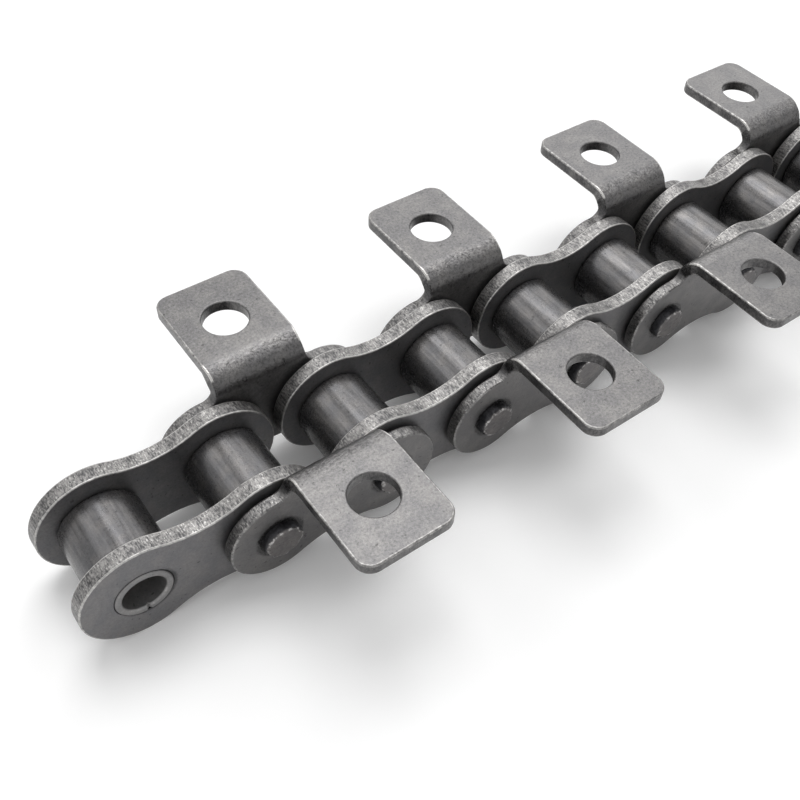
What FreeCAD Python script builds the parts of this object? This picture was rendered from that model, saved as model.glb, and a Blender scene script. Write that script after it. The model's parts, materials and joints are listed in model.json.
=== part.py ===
import FreeCAD, Part
import math
import os

# A short length of conveyor chain: a roller chain whose outer plates carry bent attachment tabs.
# Inner links (two plates, two bushings, two rollers) alternate with outer links (two attachment
# plates, two pins). The strand starts and ends with an inner link, so its end bushings are open.
#
# All sizes are in millimetres. X runs along the chain, Y runs along the pins, Z is up.
# The origin is under the middle of the strand, level with the lowest edge of the inner plates.

# Chain line
PITCH = 15.875                 # from one joint axis to the next
INNER_LINK_COUNT = 5           # an outer link joins each two neighbours

# Inner plates, shaped like an eight
INNER_WIDTH = 9.40             # between the two inner plates of a link
INNER_PLATE_THICKNESS = 2.03
INNER_PLATE_HEIGHT = 14.80     # across a rounded end
INNER_PLATE_WAIST = 11.40      # across the hollowed middle

# Bushings, curled from strip and pressed into the inner plates
BUSHING_DIAMETER = 7.10
BUSHING_PROTRUSION = 0.19      # past the outer face of each inner plate
BUSHING_BORE_CHAMFER = 0.20    # lip of each open end
BUSHING_SEAM_WIDTH = 0.12      # where the curled strip closes
BUSHING_SEAM_LEAD = 0.30       # corner broken off each end of the seam

# Pins, pressed into the outer plates
PIN_DIAMETER = 5.08
PIN_RUNNING_CLEARANCE = 0.05   # all round, pin to bushing
PIN_PROTRUSION = 1.25          # past the outer face of each outer plate
PIN_END_BEVEL = 0.30

# Rollers, free on the bushings
ROLLER_DIAMETER = 10.16
ROLLER_RUNNING_CLEARANCE = 0.06   # all round, roller to bushing
ROLLER_SIDE_CLEARANCE = 0.10      # each end, roller to inner plate
ROLLER_EDGE_BEVEL = 0.35

# Outer plates, thinner than the inner ones
OUTER_PLATE_THICKNESS = 1.60
OUTER_PLATE_HEIGHT = 12.60     # across a rounded end
OUTER_PLATE_WAIST = 9.20       # twice the height of the hollowed lower edge below the axis
OUTER_PLATE_CLEARANCE = 0.33   # from a bushing's end to the outer plate

# Attachment: the web rises from the middle of the outer plate and is bent square outwards
TAB_WIDTH = 12.50
TAB_HOLE_OFFSET = 15.90        # from the middle of the chain to the hole
TAB_HOLE_DIAMETER = 5.80
TAB_END_MARGIN = 7.40          # from the hole's centre to the tab's free end
TAB_CORNER_RADIUS = 2.00
BEND_INSIDE_RADIUS = 1.80
WEB_RISE = 0.60                # from the top of the plate's rounded ends to the bend
WEB_ROOT_FILLET = 1.50         # between the plate's rounded end and the web's edge

# Sizes that follow
HALF_PITCH = PITCH / 2
JOINT_COUNT = 2 * INNER_LINK_COUNT
AXIS_HEIGHT = INNER_PLATE_HEIGHT / 2
PIN_RADIUS = PIN_DIAMETER / 2
BUSHING_RADIUS = BUSHING_DIAMETER / 2
BUSHING_BORE_RADIUS = PIN_RADIUS + PIN_RUNNING_CLEARANCE
INNER_PLATE_INSIDE = INNER_WIDTH / 2
INNER_PLATE_OUTSIDE = INNER_PLATE_INSIDE + INNER_PLATE_THICKNESS
BUSHING_END = INNER_PLATE_OUTSIDE + BUSHING_PROTRUSION
OUTER_PLATE_INSIDE = BUSHING_END + OUTER_PLATE_CLEARANCE
OUTER_PLATE_OUTSIDE = OUTER_PLATE_INSIDE + OUTER_PLATE_THICKNESS
PIN_END = OUTER_PLATE_OUTSIDE + PIN_PROTRUSION
TAB_END = TAB_HOLE_OFFSET + TAB_END_MARGIN
HALF_TAB = TAB_WIDTH / 2
BEND_OUTSIDE_RADIUS = BEND_INSIDE_RADIUS + OUTER_PLATE_THICKNESS
BEND_START = OUTER_PLATE_HEIGHT / 2 + WEB_RISE
BEND_CENTRE = OUTER_PLATE_OUTSIDE + BEND_INSIDE_RADIUS
TAB_TOP = BEND_START + BEND_OUTSIDE_RADIUS

ALONG_CHAIN = FreeCAD.Vector(1, 0, 0)
ALONG_PIN = FreeCAD.Vector(0, 1, 0)
UP = FreeCAD.Vector(0, 0, 1)
ORIGIN = FreeCAD.Vector(0, 0, 0)


def side_point(x, z):
    """A point of an outline seen from the side of the chain."""
    return FreeCAD.Vector(x, 0, z)


def line(start, end):
    return Part.LineSegment(start, end).toShape()


def arc(start, middle, end):
    return Part.Arc(start, middle, end).toShape()


def face_from(edges):
    return Part.Face(Part.Wire(edges))


def turned(profile):
    """A solid turned about the joint axis from (radius, distance along the axis) points."""
    corners = [FreeCAD.Vector(radius, along, 0) for radius, along in profile]
    outline = Part.makePolygon(corners + [corners[0]])
    return Part.Face(outline).revolve(ORIGIN, ALONG_PIN, 360)


def bore(x, radius):
    """The round tool that opens a hole along a joint axis."""
    reach = PIN_END
    return Part.makeCylinder(radius, 2 * reach, FreeCAD.Vector(x, -reach, 0), ALONG_PIN)


# Plate outlines

def hollow_edge(end_radius, half_waist):
    """The point where the hollow arc of a waist runs into the rounded end at +HALF_PITCH.

    The arc touches both end circles from outside and passes half_waist from the chain line.
    """
    rise = HALF_PITCH ** 2 + half_waist ** 2 - end_radius ** 2
    hollow_radius = rise / (2 * (end_radius - half_waist))
    hollow_centre = half_waist + hollow_radius
    share = end_radius / (end_radius + hollow_radius)
    return HALF_PITCH * (1 - share), hollow_centre * share


def inner_outline():
    """Eight-shaped outline of an inner plate, centred between its two joints."""
    radius = INNER_PLATE_HEIGHT / 2
    half_waist = INNER_PLATE_WAIST / 2
    x, z = hollow_edge(radius, half_waist)
    tip = HALF_PITCH + radius
    return face_from([
        arc(side_point(-x, z), side_point(0, half_waist), side_point(x, z)),
        arc(side_point(x, z), side_point(tip, 0), side_point(x, -z)),
        arc(side_point(x, -z), side_point(0, -half_waist), side_point(-x, -z)),
        arc(side_point(-x, -z), side_point(-tip, 0), side_point(-x, z)),
    ])


def web_root(end_radius):
    """The fillet between the rounded end at +HALF_PITCH and the web's edge, as three points.

    It may run into the bend, but not past half the bend's height, which limits its radius.
    """
    setback = HALF_PITCH - HALF_TAB
    highest = BEND_START + BEND_OUTSIDE_RADIUS / 2
    room = highest ** 2 + setback ** 2 - end_radius ** 2
    fillet = min(WEB_ROOT_FILLET, room / (2 * (end_radius + setback)))
    centre_x = HALF_TAB + fillet
    centre_z = math.sqrt((end_radius + fillet) ** 2 - (HALF_PITCH - centre_x) ** 2)
    centre = side_point(centre_x, centre_z)
    to_end = (side_point(HALF_PITCH, 0) - centre).normalize()
    to_web = FreeCAD.Vector(-1, 0, 0)
    between = (to_end + to_web).normalize()
    return [centre + direction * fillet for direction in (to_end, between, to_web)]


def mirrored(point):
    """The same point on the other half of a plate."""
    return FreeCAD.Vector(-point.x, point.y, point.z)


def outer_outline():
    """Outline of an attachment plate seen from the side, its web drawn on past the bend and the tab."""
    radius = OUTER_PLATE_HEIGHT / 2
    half_waist = OUTER_PLATE_WAIST / 2
    x, z = hollow_edge(radius, half_waist)
    tip = side_point(HALF_PITCH + radius, 0)
    on_end, between, on_web = web_root(radius)
    web_top = side_point(HALF_TAB, 2 * TAB_TOP)
    return face_from([
        arc(side_point(-x, -z), side_point(0, -half_waist), side_point(x, -z)),
        arc(side_point(x, -z), tip, on_end),
        arc(on_end, between, on_web),
        line(on_web, web_top),
        line(web_top, mirrored(web_top)),
        line(mirrored(web_top), mirrored(on_web)),
        arc(mirrored(on_web), mirrored(between), mirrored(on_end)),
        arc(mirrored(on_end), mirrored(tip), side_point(-x, -z)),
    ])


# Sub-parts, each made at the middle of the chain line

def inner_plate():
    """The inner plate of the far side, with its two bushing seats."""
    plate = inner_outline().extrude(ALONG_PIN * INNER_PLATE_THICKNESS)
    plate.translate(ALONG_PIN * INNER_PLATE_INSIDE)
    for x in (-HALF_PITCH, HALF_PITCH):
        plate = plate.cut(bore(x, BUSHING_RADIUS))
    return plate


def bent_sheet():
    """The sheet of an attachment plate: flat, turned square by the bend, and flat again.

    It is wider and longer than the plate, whose outline is cut out of it afterwards.
    """
    reach = HALF_PITCH + OUTER_PLATE_HEIGHT
    diagonal = math.sqrt(0.5)

    def at(y, z):
        return FreeCAD.Vector(-reach, y, z)

    def quarter_turn(radius):
        return [
            at(BEND_CENTRE - radius, BEND_START),
            at(BEND_CENTRE - radius * diagonal, BEND_START + radius * diagonal),
            at(BEND_CENTRE, BEND_START + radius),
        ]

    outside = quarter_turn(BEND_OUTSIDE_RADIUS)
    inside = quarter_turn(BEND_INSIDE_RADIUS)
    foot = (at(OUTER_PLATE_INSIDE, -reach), at(OUTER_PLATE_OUTSIDE, -reach))
    end = (at(TAB_END, TAB_TOP), at(TAB_END, TAB_TOP - OUTER_PLATE_THICKNESS))
    section = face_from([
        line(foot[0], outside[0]),
        arc(*outside),
        line(outside[2], end[0]),
        line(end[0], end[1]),
        line(end[1], inside[2]),
        arc(*reversed(inside)),
        line(inside[0], foot[1]),
        line(foot[1], foot[0]),
    ])
    return section.extrude(ALONG_CHAIN * 2 * reach)


def attachment_plate():
    """The outer plate of the far side, with web, bend and tab in one piece."""
    plate = bent_sheet().common(outer_outline().extrude(ALONG_PIN * 2 * TAB_END))
    free_corners = [
        edge for edge in plate.Edges
        if edge.BoundBox.YMin > TAB_END - TAB_CORNER_RADIUS and edge.BoundBox.ZLength > OUTER_PLATE_THICKNESS / 2
    ]
    plate = plate.makeFillet(TAB_CORNER_RADIUS, free_corners)
    hole_foot = FreeCAD.Vector(0, TAB_HOLE_OFFSET, 0)
    plate = plate.cut(Part.makeCylinder(TAB_HOLE_DIAMETER / 2, 2 * TAB_TOP, hole_foot, UP))
    for x in (-HALF_PITCH, HALF_PITCH):
        plate = plate.cut(bore(x, PIN_RADIUS))
    return plate.removeSplitter().Solids[0]


def bushing():
    """A tube curled from strip, its open seam turned down."""
    lip_radius = BUSHING_BORE_RADIUS + BUSHING_BORE_CHAMFER
    lip_start = BUSHING_END - BUSHING_BORE_CHAMFER
    tube = turned([
        (BUSHING_BORE_RADIUS, -lip_start),
        (lip_radius, -BUSHING_END),
        (BUSHING_RADIUS, -BUSHING_END),
        (BUSHING_RADIUS, BUSHING_END),
        (lip_radius, BUSHING_END),
        (BUSHING_BORE_RADIUS, lip_start),
    ])
    half_seam = BUSHING_SEAM_WIDTH / 2
    wide = half_seam + BUSHING_SEAM_LEAD
    lead_start = BUSHING_END - BUSHING_SEAM_LEAD
    depth = BUSHING_DIAMETER
    corners = [
        FreeCAD.Vector(wide, BUSHING_END, 0),
        FreeCAD.Vector(half_seam, lead_start, 0),
        FreeCAD.Vector(half_seam, -lead_start, 0),
        FreeCAD.Vector(wide, -BUSHING_END, 0),
        FreeCAD.Vector(-wide, -BUSHING_END, 0),
        FreeCAD.Vector(-half_seam, -lead_start, 0),
        FreeCAD.Vector(-half_seam, lead_start, 0),
        FreeCAD.Vector(-wide, BUSHING_END, 0),
    ]
    seam = Part.Face(Part.makePolygon(corners + [corners[0]])).extrude(UP * -depth)
    return tube.cut(seam).Solids[0]


def pin():
    """A plain pin with bevelled, flattened ends."""
    return turned([
        (0, -PIN_END),
        (PIN_RADIUS - PIN_END_BEVEL, -PIN_END),
        (PIN_RADIUS, -PIN_END + PIN_END_BEVEL),
        (PIN_RADIUS, PIN_END - PIN_END_BEVEL),
        (PIN_RADIUS - PIN_END_BEVEL, PIN_END),
        (0, PIN_END),
    ])


def roller():
    """A short tube with bevelled outer edges."""
    radius = ROLLER_DIAMETER / 2
    bore_radius = BUSHING_RADIUS + ROLLER_RUNNING_CLEARANCE
    end = INNER_PLATE_INSIDE - ROLLER_SIDE_CLEARANCE
    return turned([
        (bore_radius, -end),
        (radius - ROLLER_EDGE_BEVEL, -end),
        (radius, -end + ROLLER_EDGE_BEVEL),
        (radius, end - ROLLER_EDGE_BEVEL),
        (radius - ROLLER_EDGE_BEVEL, end),
        (bore_radius, end),
    ])


# Assembly

def joint_x(joint):
    """Place along the chain of a joint, counted from 0 at the left end."""
    return (joint - (JOINT_COUNT - 1) / 2) * PITCH


def write(name, shape, x):
    """Set a sub-part at its place along the chain and write its file."""
    placed = shape.copy()
    placed.translate(FreeCAD.Vector(x, 0, AXIS_HEIGHT))
    placed.exportStep(os.path.join("parts", name + ".step"))


def front(shape):
    """The same plate on the near side of the chain."""
    return shape.mirror(ORIGIN, ALONG_PIN)


def build():
    os.makedirs("parts", exist_ok=True)
    inner_back = inner_plate()
    inner_front = front(inner_back)
    attachment_back = attachment_plate()
    attachment_front = front(attachment_back)
    for link in range(INNER_LINK_COUNT):
        middle = joint_x(2 * link) + HALF_PITCH
        write(f"inner_plate_{link + 1}_back", inner_back, middle)
        write(f"inner_plate_{link + 1}_front", inner_front, middle)
    for link in range(INNER_LINK_COUNT - 1):
        middle = joint_x(2 * link + 1) + HALF_PITCH
        write(f"attachment_plate_{link + 1}_back", attachment_back, middle)
        write(f"attachment_plate_{link + 1}_front", attachment_front, middle)
    for joint in range(JOINT_COUNT):
        write(f"bushing_{joint + 1:02d}", bushing(), joint_x(joint))
        write(f"roller_{joint + 1:02d}", roller(), joint_x(joint))
    for joint in range(1, JOINT_COUNT - 1):
        write(f"pin_{joint + 1:02d}", pin(), joint_x(joint))


build()
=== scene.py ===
# %% [markdown]
# # A strand of conveyor chain with bent tabs
#
# The real object is five inner links and four outer links of roller chain. Every outer plate
# carries a tab that is bent square outwards and holds one hole. It is stamped, curled and turned
# steel with a dark heat-treated skin, bright only where edges rub.
#
# The solids already say where each piece sits and how it moves. This file gives each of them a
# finished surface: rolled edges, sheared rims, curled seams, staked pin ends, and steel that looks
# like steel. It starts by loading the solids.

# %% Load the solids
import json
import math

import bmesh
import bpy
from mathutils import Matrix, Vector


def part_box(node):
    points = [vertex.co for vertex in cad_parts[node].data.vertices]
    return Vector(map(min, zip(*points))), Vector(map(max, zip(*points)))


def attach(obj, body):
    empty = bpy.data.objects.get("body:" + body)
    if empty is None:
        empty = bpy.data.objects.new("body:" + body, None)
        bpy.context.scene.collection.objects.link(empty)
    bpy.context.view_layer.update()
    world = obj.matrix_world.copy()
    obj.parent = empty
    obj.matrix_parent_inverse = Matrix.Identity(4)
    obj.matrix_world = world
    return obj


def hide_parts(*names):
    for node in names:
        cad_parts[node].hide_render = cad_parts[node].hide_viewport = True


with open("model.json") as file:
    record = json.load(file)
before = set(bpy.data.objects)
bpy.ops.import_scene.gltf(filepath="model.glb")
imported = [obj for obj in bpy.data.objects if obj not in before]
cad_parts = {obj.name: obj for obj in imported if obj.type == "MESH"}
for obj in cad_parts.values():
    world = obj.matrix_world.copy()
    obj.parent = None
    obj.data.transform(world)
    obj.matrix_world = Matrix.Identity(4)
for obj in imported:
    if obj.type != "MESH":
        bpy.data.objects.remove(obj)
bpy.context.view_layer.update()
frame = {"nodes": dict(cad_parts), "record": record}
BODIES = frame["record"]["behaviour"]["bodies"]

# %% [markdown]
# ## Sizes
#
# A piece can only sit where its solid sits if both use the same sizes. Most of them are read from
# the boxes of the solids, so that they follow when the part changes. A box can't tell a waist, a
# bore or a bend radius, so those few are written here, in millimetres.
#
# All places are in metres, with X along the chain, Y along the pins and Z up.

# %% Sizes read from the solids
MM = 0.001


def middle(node):
    """The middle of a solid's box."""
    low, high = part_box(node)
    return (low + high) / 2


def span(node):
    """The three sides of a solid's box."""
    low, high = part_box(node)
    return high - low


PITCH = middle("roller_02").x - middle("roller_01").x
HALF_PITCH = PITCH / 2
AXIS_HEIGHT = middle("roller_01").z
INNER_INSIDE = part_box("inner_plate_1_back")[0].y
INNER_THICKNESS = span("inner_plate_1_back").y
INNER_END_RADIUS = span("inner_plate_1_back").z / 2
OUTER_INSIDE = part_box("attachment_plate_1_back")[0].y
OUTER_END_RADIUS = (span("attachment_plate_1_back").x - PITCH) / 2
TAB_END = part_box("attachment_plate_1_back")[1].y
TAB_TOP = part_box("attachment_plate_1_back")[1].z - AXIS_HEIGHT
PIN_RADIUS = span("pin_02").x / 2
PIN_HALF_LENGTH = span("pin_02").y / 2
BUSHING_RADIUS = span("bushing_01").x / 2
BUSHING_HALF_LENGTH = span("bushing_01").y / 2
ROLLER_RADIUS = span("roller_01").x / 2
ROLLER_HALF_LENGTH = span("roller_01").y / 2
print(f"pitch {PITCH / MM:.3f} mm, joint axes {AXIS_HEIGHT / MM:.2f} mm up")

# %% Sizes that a box doesn't tell
INNER_HALF_WAIST = 5.70 * MM
OUTER_HALF_WAIST = 4.60 * MM
OUTER_THICKNESS = 1.60 * MM
BUSHING_BORE_RADIUS = 2.59 * MM
ROLLER_BORE_RADIUS = 3.61 * MM
BORE_LIP = 0.20 * MM
SEAM_WIDTH = 0.04 * MM          # what pressing into the plates leaves open
SEAM_LEAD = 0.30 * MM
HALF_TAB = 6.25 * MM
TAB_HOLE_OFFSET = 15.90 * MM
TAB_HOLE_RADIUS = 2.90 * MM
TAB_CORNER_RADIUS = 2.00 * MM
BEND_INSIDE_RADIUS = 1.80 * MM
WEB_ROOT_FILLET = 1.50 * MM
INNER_ROLL = 0.16 * MM         # radius that the stamping tool leaves on a plate's edges
OUTER_ROLL = 0.22 * MM
SEAT_ROLL = 0.02 * MM          # edges of holes that hold another piece stay sharp
print(f"outer plates {OUTER_THICKNESS / MM:.2f} mm thick, tabs {2 * HALF_TAB / MM:.2f} mm wide")

# %% [markdown]
# ## Camera
#
# The camera stands low over the open end of the strand and looks along it. Its place, turn and
# lens were found by matching circles of known size (bushing, pins, tab holes) to their ellipses
# in the picture, so that the links shrink with distance as they do there.

# %% Camera
CAMERA_PLACE = (-0.082166, -0.062593, 0.100966)
CAMERA_TURN = (39.2187, -3.1338, -36.5972)      # degrees about X, Y and Z
CAMERA_LENS = 42.821                            # millimetres on a 36 mm wide sensor
CAMERA_SHIFT = (-0.02218, 0.02863)              # share of the picture's width
SENSOR_WIDTH = 36


def put(name, data):
    """A new object in the scene, at the origin."""
    made = bpy.data.objects.new(name, data)
    bpy.context.scene.collection.objects.link(made)
    return made


camera = put("camera", bpy.data.cameras.new("camera"))
camera.location = CAMERA_PLACE
camera.rotation_euler = [math.radians(turn) for turn in CAMERA_TURN]
camera.data.lens = CAMERA_LENS
camera.data.sensor_width = SENSOR_WIDTH
camera.data.shift_x, camera.data.shift_y = CAMERA_SHIFT
camera.data.clip_start = 0.005
camera.data.clip_end = 20
bpy.context.scene.camera = camera
bpy.context.scene.view_settings.view_transform = "Standard"
print(f"camera {camera.location.length / MM:.0f} mm from the middle of the chain")

# %% [markdown]
# ## Light and floor
#
# The chain lies on white paper under a large soft light from above, a weaker one from behind on
# the right and a faint one from the left. Steel shows what it mirrors, so the lights' places
# matter more than their power: the tabs look pale because they mirror them, the left light widens
# the gleam on the open end's roller, and the plates' sides look dark because they mirror the
# shaded paper.
#
# The paper is white by its own colour. Where it is seen or mirrored it is a little whiter than
# where it only passes light on, so that the shadow under the chain stays deep. Far from the chain
# it fades into plain white, as a paper sweep does, so that low views show no horizon.

# %% Helpers that add nodes to a tree


def add(tree, kind, inputs=None, **settings):
    """Add a node. Settings are its options; inputs are its sockets, by name or number."""
    made = tree.nodes.new(kind)
    for option, value in settings.items():
        setattr(made, option, value)
    for socket, value in (inputs or {}).items():
        value = getattr(value, "socket", value)
        if isinstance(value, bpy.types.NodeSocket):
            tree.links.new(value, made.inputs[socket])
        else:
            made.inputs[socket].default_value = value
    return made


def empty_tree(owner):
    """The node tree of a new material or world, with nothing in it."""
    owner.use_nodes = True
    owner.node_tree.nodes.clear()
    return owner.node_tree


class Value:
    """A number in a node tree. Each sum made with it adds one Math node to the tree."""

    def __init__(self, tree, socket):
        self.tree = tree
        self.socket = socket

    def calc(self, operation, *others, clamp=False):
        inputs = dict(enumerate((self, *others)))
        made = add(self.tree, "ShaderNodeMath", inputs, operation=operation, use_clamp=clamp)
        return Value(self.tree, made.outputs[0])

    def clamped(self):
        """The same number, held between 0 and 1."""
        return self.calc("ADD", 0.0, clamp=True)

    def __add__(self, other):
        return self.calc("ADD", other)

    def __sub__(self, other):
        return self.calc("SUBTRACT", other)

    def __mul__(self, other):
        return self.calc("MULTIPLY", other)

    def __truediv__(self, other):
        return self.calc("DIVIDE", other)


# %% The paper
FLOOR_SIZE = 4.0
PAPER_WHITE = 0.84
PAPER_SEEN = 0.98
BACKDROP_LIFT = 0.06          # whitens the paper as a backdrop, without lighting the chain
BACKDROP_NEAR, BACKDROP_FAR = 0.35, 1.10      # between these the paper fades into plain white


def seen_or_mirrored(tree):
    """1 for what the camera sees straight, in a mirror or through glass, else 0."""
    path = add(tree, "ShaderNodeLightPath")
    seen = Value(tree, path.outputs["Is Camera Ray"]).calc("MAXIMUM", path.outputs["Is Glossy Ray"])
    return seen.calc("MAXIMUM", path.outputs["Is Transmission Ray"])


def make_floor():
    """A square of white paper. It keeps the chain's shadow and fades into white far away."""
    edge = FLOOR_SIZE / 2
    corners = [(-edge, -edge, 0), (edge, -edge, 0), (edge, edge, 0), (-edge, edge, 0)]
    mesh = bpy.data.meshes.new("paper")
    mesh.from_pydata(corners, [], [(0, 1, 2, 3)])
    floor = put("paper", mesh)
    material = bpy.data.materials.new("paper")
    tree = empty_tree(material)
    seen = seen_or_mirrored(tree)
    place = add(tree, "ShaderNodeTexCoord").outputs["Object"]
    length = add(tree, "ShaderNodeVectorMath", {0: place}, operation="LENGTH")
    distance = Value(tree, length.outputs["Value"])
    away = ((distance - BACKDROP_NEAR) / (BACKDROP_FAR - BACKDROP_NEAR)).clamped()
    glow = seen * (away * (1 - BACKDROP_LIFT) + BACKDROP_LIFT)
    white = seen * (PAPER_SEEN - PAPER_WHITE) + PAPER_WHITE
    paper = add(tree, "ShaderNodeBsdfDiffuse", {"Color": white})
    lift = add(tree, "ShaderNodeEmission", {"Color": (1, 1, 1, 1), "Strength": glow})
    both = add(tree, "ShaderNodeAddShader", {0: paper.outputs[0], 1: lift.outputs[0]})
    add(tree, "ShaderNodeOutputMaterial", {"Surface": both.outputs[0]})
    mesh.materials.append(material)


make_floor()
print(f"a square of paper, {FLOOR_SIZE} m wide")

# %% The room and its lamps
WORLD_LIGHT = 0.57            # soft light from all round, on diffuse surfaces


def make_world():
    """White to the eye and in mirrors, and weaker as light, so that shadows keep their depth."""
    world = bpy.data.worlds.new("white_room")
    tree = empty_tree(world)
    strength = seen_or_mirrored(tree) * (1 - WORLD_LIGHT) + WORLD_LIGHT
    room = add(tree, "ShaderNodeBackground", {"Color": (1, 1, 1, 1), "Strength": strength})
    add(tree, "ShaderNodeOutputWorld", {"Surface": room.outputs[0]})
    bpy.context.scene.world = world


def make_softbox(name, size, power, distance, azimuth, height):
    """A square soft light. Azimuth is in degrees from +X towards +Y, height is above the paper."""
    light = bpy.data.lights.new(name, "AREA")
    light.shape = "SQUARE"
    light.size = size
    light.energy = power
    around, up = math.radians(azimuth), math.radians(height)
    direction = Vector((math.cos(up) * math.cos(around), math.cos(up) * math.sin(around), math.sin(up)))
    lamp = put(name, light)
    lamp.location = direction * distance
    lamp.rotation_euler = direction.to_track_quat("Z", "Y").to_euler()


make_world()
make_softbox("softbox_above", size=0.70, power=6.6, distance=1.2, azimuth=62, height=70)
make_softbox("softbox_behind", size=0.90, power=3.1, distance=1.3, azimuth=40, height=31)
make_softbox("softbox_left", size=0.50, power=1.2, distance=1.2, azimuth=132, height=45)
print("lamps:", ", ".join(light.name for light in bpy.data.lights))

# %% [markdown]
# ## Effects that the steels share
#
# Five finishes are needed, and they differ in values more than in kind. Each could have its own
# tree of nodes, but then a change to the grain would have to be made five times. So what they
# share is made once, as node groups with named inputs: the grain of the skin, the sheared rim, and
# the wear. The groups give out only values. Each material decides what they do to its colour,
# gloss and bump.

# %% Start a shader group


def shader_group(name, inputs, outputs):
    """A shader node group: its inputs have defaults, its outputs are values."""
    group = bpy.data.node_groups.new(name, "ShaderNodeTree")
    for label, default in inputs.items():
        socket = group.interface.new_socket(label, in_out="INPUT", socket_type="NodeSocketFloat")
        socket.default_value = default
    for label in outputs:
        group.interface.new_socket(label, in_out="OUTPUT", socket_type="NodeSocketFloat")
    return group, add(group, "NodeGroupInput").outputs


def mark(tree, label):
    """A number that the mesh keeps at each point."""
    return Value(tree, add(tree, "ShaderNodeAttribute", attribute_name=label).outputs["Fac"])


def noise(tree, place, scale, detail=2.0, roughness=0.5):
    """Cloudy noise around 0.5."""
    inputs = {"Vector": place, "Scale": scale, "Detail": detail, "Roughness": roughness}
    return Value(tree, add(tree, "ShaderNodeTexNoise", inputs).outputs["Fac"])


def ramp(value, start, end):
    """0 below start, 1 above end."""
    return ((value - start) / (end - start)).clamped()


# %% [markdown]
# ## Grain
#
# Sheet that was rolled hot and then hardened has a fine bumpy skin, with larger cloudy patches of
# oxide and a few dark pits. An image could show it, but an image tears at bends and repeats.
# Noise in three dimensions has no seams, so several sizes of it are laid over each other. The
# streaks are noise drawn out along the pins, as a lathe or a rolling roller leaves them.

# %% Grain and oxide patches
STREAK_STRETCH = (1.0, 0.07, 1.0)     # small along the pins, so that streaks run that way
PIT_RANGE = (0.70, 0.76)              # only the highest peaks of the noise are pits


def grain_group():
    """The skin at several sizes. The inputs are those sizes, in metres."""
    inputs = {"Grain Size": 0.00014, "Speckle Size": 0.00034, "Patch Size": 0.0024}
    outputs = ("Grain", "Speckle", "Patches", "Pits", "Streaks")
    group, given = shader_group("steel_grain", inputs, outputs)
    place = add(group, "ShaderNodeTexCoord").outputs["Object"]
    fine, medium, wide = (Value(group, given[label]).calc("POWER", -1.0) for label in inputs)
    grain = noise(group, place, fine, detail=2.0, roughness=0.6)
    speckle = noise(group, place, medium, detail=3.0, roughness=0.65)
    patches = noise(group, place, wide, detail=4.0, roughness=0.6)
    pits = ramp(noise(group, place, medium * 0.6, detail=1.0), *PIT_RANGE)
    drawn = add(group, "ShaderNodeVectorMath", {0: place, 1: STREAK_STRETCH}, operation="MULTIPLY")
    streaks = noise(group, drawn.outputs[0], medium * 0.8, detail=3.0, roughness=0.65)
    add(group, "NodeGroupOutput", {
        "Grain": grain,
        "Speckle": speckle,
        "Patches": patches,
        "Pits": pits,
        "Streaks": streaks,
    })
    return group


GRAIN = grain_group()
print(GRAIN.name, "has", len(GRAIN.nodes), "nodes")

# %% [markdown]
# ## Sheared rim
#
# A punch cuts only part of a plate's thickness and tears the rest. The band that it leaves is
# pebbled, drawn out in the direction of the stroke, and flecked with bare metal. It could be
# modelled, but the pebbles are a fifth of a millimetre wide. Here the mesh keeps each rim point's
# place on the flat blank, and noise on that place follows the rim round every curve and bend.

# %% Sheared rim
TORN_RANGE = (0.38, 0.58)      # long stretches of the rim are torn, others are cut clean
FLECK_RANGE = (0.57, 0.64)
TAB_PEBBLES = 0.7              # by how much a tab's pebbles are flatter
TAB_FLECKS = 0.9               # by how much its flecks are fewer
# Painted shade: how much darker a tab's rims are.
TAB_RIM_SHADE = 0.06
TORN_LIGHT = 0.08


def rim_group():
    """The rim's own place runs round the outline, and its third number through the thickness.

    The tab and the web are cut cleaner than the rounded ends, so they have flatter pebbles and few
    flecks; their rims are also darker, a painted shade.
    """
    inputs = {"Pebble Size": 0.00022, "Stretch": 0.4}
    group, given = shader_group("sheared_rim", inputs, ("Rim", "Pebbles", "Flecks"))
    rim = mark(group, "rim")
    place = add(group, "ShaderNodeAttribute", attribute_name="rim_place").outputs["Vector"]
    stretch = add(group, "ShaderNodeCombineXYZ", {"X": 1.0, "Y": 1.0, "Z": given["Stretch"]})
    stroke = {0: place, 1: stretch.outputs[0]}
    pulled = add(group, "ShaderNodeVectorMath", stroke, operation="MULTIPLY").outputs[0]
    scale = Value(group, given["Pebble Size"]).calc("POWER", -1.0)
    tab = mark(group, "tab")
    pebbles = noise(group, pulled, scale, detail=3.0, roughness=0.7)
    pebbles = (pebbles - 0.5) * (tab * -TAB_PEBBLES + 1.0) - tab * TAB_RIM_SHADE + 0.5
    torn = ramp(noise(group, place, scale * 0.12, detail=2.0), *TORN_RANGE)
    flecks = ramp(noise(group, pulled, scale * 1.3, detail=2.0, roughness=0.7), *FLECK_RANGE)
    flecks = flecks * (tab * -TAB_FLECKS + 1.0) * torn
    pebbles = pebbles + torn * TORN_LIGHT - 0.05
    add(group, "NodeGroupOutput", {"Rim": rim, "Pebbles": pebbles, "Flecks": flecks})
    return group


RIM = rim_group()
print(RIM.name, "has", len(RIM.nodes), "nodes")
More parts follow.
